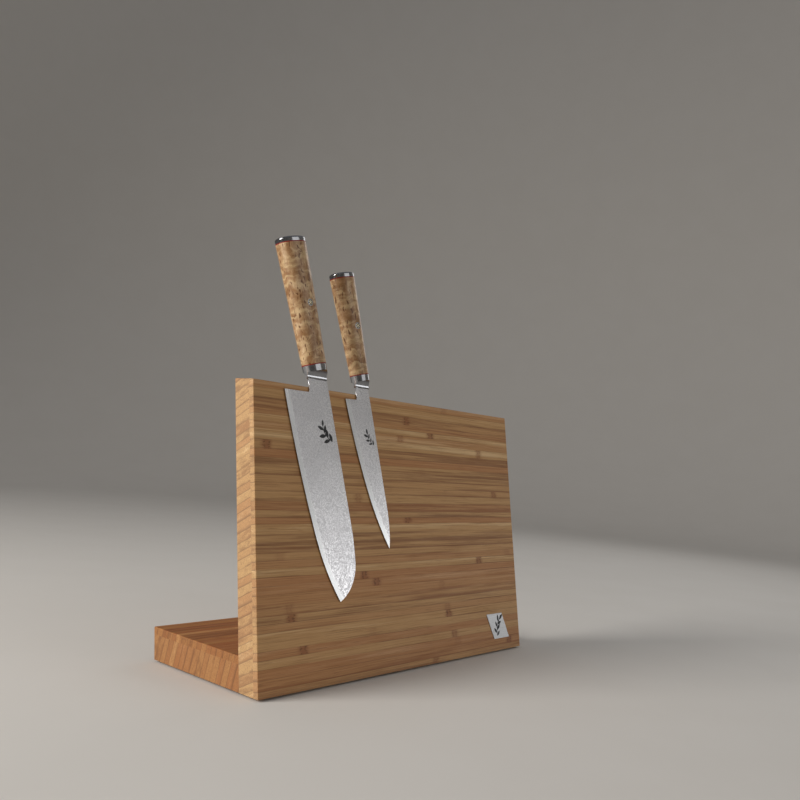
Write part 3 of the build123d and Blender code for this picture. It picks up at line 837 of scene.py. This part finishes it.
def gridded_blade(knife, material):
    """The blade cut into a fine grid, whose points carry their distance from the cutting edge."""
    look = bpy.context.scene.blade
    place = blade_frame(knife)
    source = NODES[f"{knife}_blade"].data
    points = local_points(f"{knife}_blade", place)
    work = bmesh.new()
    corners = [work.verts.new(p) for p in points]
    for polygon in source.polygons:
        work.faces.new([corners[v] for v in polygon.vertices])
    bmesh.ops.remove_doubles(work, verts=work.verts, dist=WELD)
    bmesh.ops.dissolve_limit(work, angle_limit=FLAT_ANGLE, verts=work.verts, edges=work.edges)
    tip, spine = points[:, 0].max(), points[:, 1].max()
    stations = np.linspace(0, tip, look.stations)[1:-1]
    cuts = [((x, 0, 0), (1, 0, 0)) for x in (GRID_NUDGE, *stations)]
    cuts += [((0, y, 0), (0, 1, 0)) for y in np.linspace(0, spine, look.rows)[1:-1]]
    for origin, normal in cuts:
        whole = work.verts[:] + work.edges[:] + work.faces[:]
        bmesh.ops.bisect_plane(work, geom=whole, dist=WELD, plane_co=origin, plane_no=normal)
    bmesh.ops.recalc_face_normals(work, faces=work.faces)

    spots = np.array([v.co for v in work.verts])
    lower = [spots[spots[:, 1].argmin()][:2]]
    for x in stations:
        row = spots[np.abs(spots[:, 0] - x) < WELD]
        lower.append(row[row[:, 1].argmin()][:2])
    lower.append(spots[spots[:, 0].argmax()][:2])
    away = segment_distance(spots[:, :2], np.array(lower))

    for face in work.faces:
        face.smooth = abs(face.normal.z) < SIDE_NORMAL
    mesh = bpy.data.meshes.new(f"{knife}_blade_steel")
    work.to_mesh(mesh)
    work.free()
    mesh.attributes.new("edge_mm", "FLOAT", "POINT").data.foreach_set("value", away / MM)
    mesh.transform(place)
    piece = placed(f"{knife}_blade_steel", mesh)
    finish_with(piece, material)
    return piece


# ---- Operators ----
class BoardsOperator(bpy.types.Operator):
    """Finish the bamboo boards and the dowels between them"""

    bl_idname = "knife_block.boards"
    bl_label = "Boards and dowels"

    def execute(self, context):
        for node, (slant, seed, toast) in BOARDS.items():
            bamboo = laminated_bamboo(f"laminated_bamboo_{node}", slant, seed, toast)
            finish_with(NODES[node], bamboo)
        finish_with(NODES["joint_dowels"], turned_beech("turned_beech"))
        return {"FINISHED"}


class MagnetsOperator(bpy.types.Operator):
    """Finish the hidden magnets and the steel strips behind them"""

    bl_idname = "knife_block.magnets"
    bl_label = "Magnets and keepers"

    def execute(self, context):
        ferrite = sintered_ferrite("sintered_ferrite")
        steel = rolled_steel("cold_rolled_mild_steel")
        for row in ("upper", "middle", "lower"):
            finish_with(NODES[f"magnet_row_{row}"], ferrite)
            finish_with(NODES[f"keeper_strip_{row}"], steel)
        return {"FINISHED"}


class FeetOperator(bpy.types.Operator):
    """Make the four ringed rubber feet"""

    bl_idname = "knife_block.feet"
    bl_label = "Rubber feet"

    def execute(self, context):
        look = context.scene.feet
        nodes = [name for name in NODES if name.startswith("rubber_foot")]
        boxes = [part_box(name) for name in nodes]
        low, high = boxes[0]
        feet = grown(
            "ringed_feet",
            foot_tree(),
            [((a.x + b.x) / 2, (a.y + b.y) / 2, a.z) for a, b in boxes],
            Matrix.Identity(4),
            {
                "Radius": (high.x - low.x) / 2,
                "Height": high.z - low.z,
                "Rings": look.rings,
                "Ring width": look.ring_width,
                "Material": moulded_rubber("moulded_rubber"),
            },
        )
        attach(feet, "block")
        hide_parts(*nodes)
        return {"FINISHED"}


class BladesOperator(bpy.types.Operator):
    """Make both blades of patterned steel"""

    bl_idname = "knife_block.blades"
    bl_label = "Blades"

    def execute(self, context):
        steel = patterned_steel("etched_layered_steel")
        for knife in KNIVES:
            blade = gridded_blade(knife, steel)
            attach(blade, knife)
            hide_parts(f"{knife}_blade")
        return {"FINISHED"}


class GripsOperator(bpy.types.Operator):
    """Finish the grips with their bolsters, spacers, end caps and pins"""

    bl_idname = "knife_block.grips"
    bl_label = "Grips"

    def execute(self, context):
        polished = polished_steel("buffed_stainless_steel")
        shared = {
            "bolster": polished,
            "end_cap": polished,
            "front_spacer": red_fibre("vulcanised_red_fibre"),
            "pin_tube": satin_steel("satin_steel_tube"),
            "pin_rods": pin_metal("nickel_silver_rod"),
            "pin_resin": dark_resin("black_epoxy"),
        }
        shared["back_spacer"] = shared["front_spacer"]
        for knife in KNIVES:
            wood = figured_birch(f"figured_birch_{knife}", grip_turn(knife), FLECKS[knife])
            finish_with(NODES[f"{knife}_grip"], wood)
            for part, material in shared.items():
                finish_with(NODES[f"{knife}_{part}"], material)
        return {"FINISHED"}


class BadgeOperator(bpy.types.Operator):
    """Finish the badge plate"""

    bl_idname = "knife_block.badge"
    bl_label = "Badge"

    def execute(self, context):
        finish_with(NODES["badge_plate"], satin_steel("satin_stainless_sheet"))
        return {"FINISHED"}


class MarksOperator(bpy.types.Operator):
    """Grow the leaf sprigs on both blades and on the badge"""

    bl_idname = "knife_block.marks"
    bl_label = "Leaf marks"

    def execute(self, context):
        look = context.scene.sprig
        tree = sprig_tree()
        black = etched_mark("blackened_etch")
        for seed, (name, body, place, scale) in enumerate(mark_places()):
            mark = grown(
                f"{name}_leaf_mark",
                tree,
                [],
                place,
                {
                    "Length": look.length * scale,
                    "Leaves": look.leaves,
                    "Leaf length": look.leaf_length * scale,
                    "Relief": look.relief,
                    "Seed": seed,
                    "Material": black,
                },
            )
            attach(mark, body)
        return {"FINISHED"}


def mark_places():
    """Each leaf mark's name, body, place on its surface and scale."""
    places = []
    for knife, (along, across, turn, scale) in MARKS.items():
        spot = blade_frame(knife) @ Matrix.Translation((along, across, 0))
        blade = bpy.data.objects[f"{knife}_blade_steel"]
        outward = spot.to_3x3() @ Vector((0, 0, 1))
        _, at, normal, _ = blade.ray_cast(spot.translation + outward * RAY_START, -outward)
        tilt = outward.rotation_difference(normal).to_matrix() @ spot.to_3x3()
        lay = Matrix.Translation(at) @ tilt.to_4x4() @ Matrix.Rotation(turn, 4, "Z")
        places.append((knife, knife, lay, scale))
    points = local_points("badge_plate", face_frame())
    low, high = Vector(points.min(0)), Vector(points.max(0))
    middle = Vector(((low.x + high.x) / 2, (low.y + high.y) / 2, high.z))
    lay = face_frame() @ Matrix.Translation(middle) @ Matrix.Rotation(BADGE_MARK_TURN, 4, "Z")
    places.append(("badge", "block", lay, BADGE_MARK_SCALE))
    return places


def seamless_floor(material):
    """A round floor that curves up into a wall, so that it has no visible horizon."""
    profile = [(FLAT_RADIUS * k / FLAT_RINGS, FLOOR_LEVEL) for k in range(1, FLAT_RINGS + 1)]
    for k in range(1, SWEEP_RINGS + 1):
        angle = k * math.pi / 2 / SWEEP_RINGS
        reach = FLAT_RADIUS + SWEEP_RADIUS * math.sin(angle)
        profile.append((reach, FLOOR_LEVEL + SWEEP_RADIUS * (1 - math.cos(angle))))
    profile.append((FLAT_RADIUS + SWEEP_RADIUS, WALL_HEIGHT))
    turns = [k * math.tau / FLOOR_SIDES for k in range(FLOOR_SIDES)]
    points = [(r * math.cos(a), r * math.sin(a), z) for r, z in profile for a in turns]
    faces = [tuple(range(FLOOR_SIDES))]
    for first in range(0, len(points) - FLOOR_SIDES, FLOOR_SIDES):
        for k in range(FLOOR_SIDES):
            here, after = first + k, first + (k + 1) % FLOOR_SIDES
            faces.append((here, here + FLOOR_SIDES, after + FLOOR_SIDES, after))
    mesh = bpy.data.meshes.new("floor")
    mesh.from_pydata(points, [], faces)
    mesh.polygons.foreach_set("use_smooth", [True] * len(faces))
    floor = placed("floor", mesh)
    finish_with(floor, material)
    return floor


class StageOperator(bpy.types.Operator):
    """Set up the camera, the floor and the lights"""

    bl_idname = "knife_block.stage"
    bl_label = "Stage"

    def execute(self, context):
        look = context.scene.studio
        level = Vector((math.sin(look.heading), math.cos(look.heading), 0))
        ahead = level * math.cos(look.pitch) + Vector((0, 0, math.sin(look.pitch)))
        right = Vector((math.cos(look.heading), -math.sin(look.heading), 0))
        up = right.cross(ahead)
        axes = Matrix((right, up, -ahead)).transposed() @ Matrix.Rotation(look.roll, 3, "Z")
        data = bpy.data.cameras.new("camera")
        data.lens = look.lens
        camera = placed("camera", data)
        stand = Vector(look.aim) - ahead * look.distance
        camera.matrix_world = Matrix.Translation(stand) @ axes.to_4x4()
        context.scene.camera = camera

        seamless_floor(studio_floor("matt_studio_floor"))

        for name, (at, size, power, tint, spread) in LIGHTS.items():
            data = bpy.data.lights.new(name, "AREA")
            data.shape = "RECTANGLE"
            data.size, data.size_y = size
            data.energy = power
            data.spread = spread
            data.color = colour(tint)[:3]
            lamp = placed(name, data)
            lamp.visible_camera = False
            toward = Vector(LIGHT_AIM) - Vector(at)
            turn = toward.to_track_quat("-Z", "Y").to_matrix().to_4x4()
            lamp.matrix_world = Matrix.Translation(at) @ turn

        world = bpy.data.worlds.new("soft_grey_room")
        world.use_nodes = True
        room = world.node_tree.nodes["Background"]
        room.inputs["Color"].default_value = colour(ROOM_COLOUR)
        room.inputs["Strength"].default_value = ROOM_STRENGTH
        context.scene.world = world
        context.scene.view_settings.view_transform = "Standard"
        return {"FINISHED"}


class KnifeBlockPanel(bpy.types.Panel):
    """Lists what makes up the knife block"""

    bl_idname = "VIEW3D_PT_knife_block"
    bl_label = "Knife Block"
    bl_space_type = "VIEW_3D"
    bl_region_type = "UI"
    bl_category = "Knife Block"

    def draw(self, context):
        for operator in OPERATORS:
            self.layout.operator(operator.bl_idname)
        for group in SETTINGS:
            box = self.layout.box()
            owner = getattr(context.scene, group)
            for name in owner.bl_rna.properties.keys():
                if name not in ("rna_type", "name"):
                    box.prop(owner, name)


OPERATORS = (
    BoardsOperator,
    MagnetsOperator,
    FeetOperator,
    BladesOperator,
    GripsOperator,
    BadgeOperator,
    MarksOperator,
    StageOperator,
)
SETTINGS = {
    "bamboo": BambooSettings,
    "blade": BladeSettings,
    "sprig": SprigSettings,
    "feet": FootSettings,
    "studio": StudioSettings,
}
CLASSES = (*SETTINGS.values(), *OPERATORS, KnifeBlockPanel)


def register():
    for kind in CLASSES:
        bpy.utils.register_class(kind)
    for name, group in SETTINGS.items():
        setattr(bpy.types.Scene, name, bpy.props.PointerProperty(type=group))


def unregister():
    for name in SETTINGS:
        delattr(bpy.types.Scene, name)
    for kind in reversed(CLASSES):
        bpy.utils.unregister_class(kind)


def main():
    register()
    for operator in OPERATORS:
        group, name = operator.bl_idname.split(".")
        getattr(getattr(bpy.ops, group), name)()


if __name__ == "__main__":
    main()
